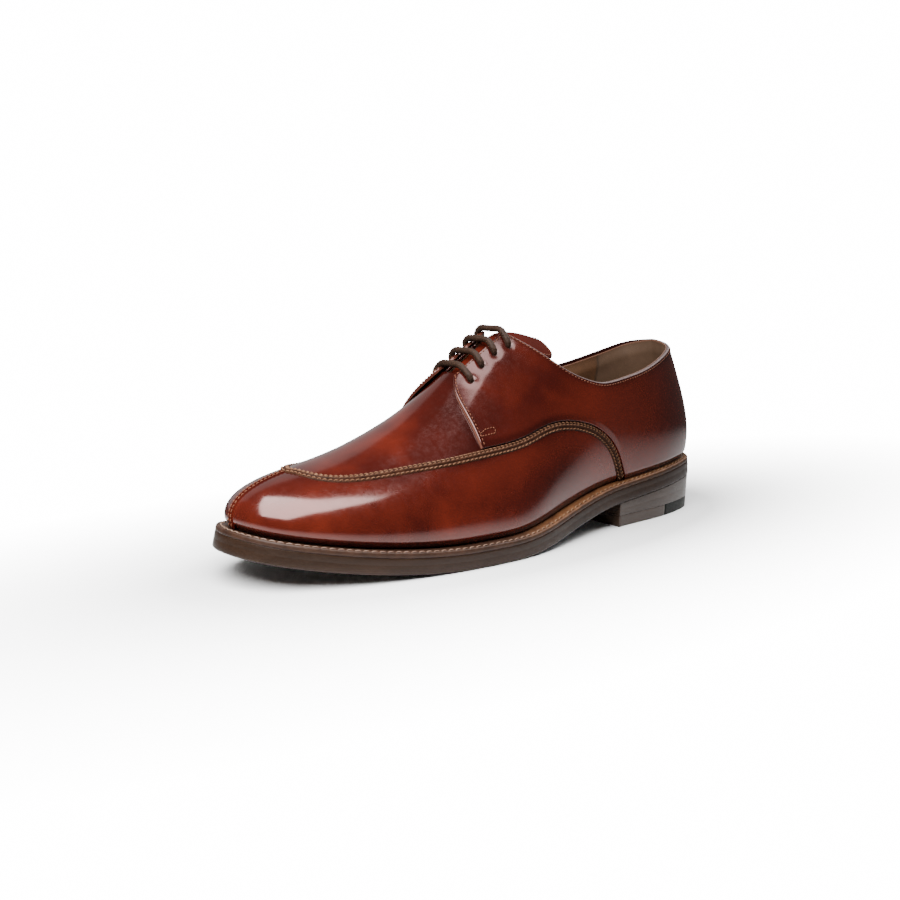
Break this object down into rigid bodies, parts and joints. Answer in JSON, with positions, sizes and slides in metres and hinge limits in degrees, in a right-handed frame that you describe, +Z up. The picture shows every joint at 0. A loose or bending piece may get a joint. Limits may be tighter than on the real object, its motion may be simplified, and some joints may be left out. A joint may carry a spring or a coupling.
{
  "type": "derby shoe",
  "caption": "Left derby shoe in polished red-brown leather with a raised apron seam and split toe, stitched welt, layered leather sole and stacked heel, laced closed over a tongue.",
  "frame": {"origin": "on the floor, under the middle of the shoe's bounding box", "axes": "toe at -Y, heel at +Y, +X to the outer side of the foot, +Z up"},
  "size_m": [0.1056, 0.305, 0.1148],
  "materials": {
    "upper_leather": "polished red-brown calf leather, burnished darker at facings and heel",
    "seam_leather": "raised stitched seam",
    "sole_leather": "dark waxed sole edge",
    "welt_leather": "dark welt with tan stitching",
    "insole_leather": "pale beige leather",
    "rubber": "matt black rubber",
    "lace": "waxed dark brown round lace"
  },
  "bodies": {
    "root": {"outsole": "sole_leather", "midsole": "sole_leather", "welt": "welt_leather", "heel_stack": "sole_leather", "heel_top_piece": "sole_leather", "heel_rubber": "rubber", "insole": "insole_leather", "upper": "upper_leather", "quarter_lateral": "upper_leather", "quarter_medial": "upper_leather", "apron_seam": "seam_leather", "toe_seam": "seam_leather", "tongue": "upper_leather", "lace_bar_1": "lace", "lace_bar_2": "lace", "lace_bar_3": "lace", "lace_bar_4": "lace"}
  },
  "joints": []
}
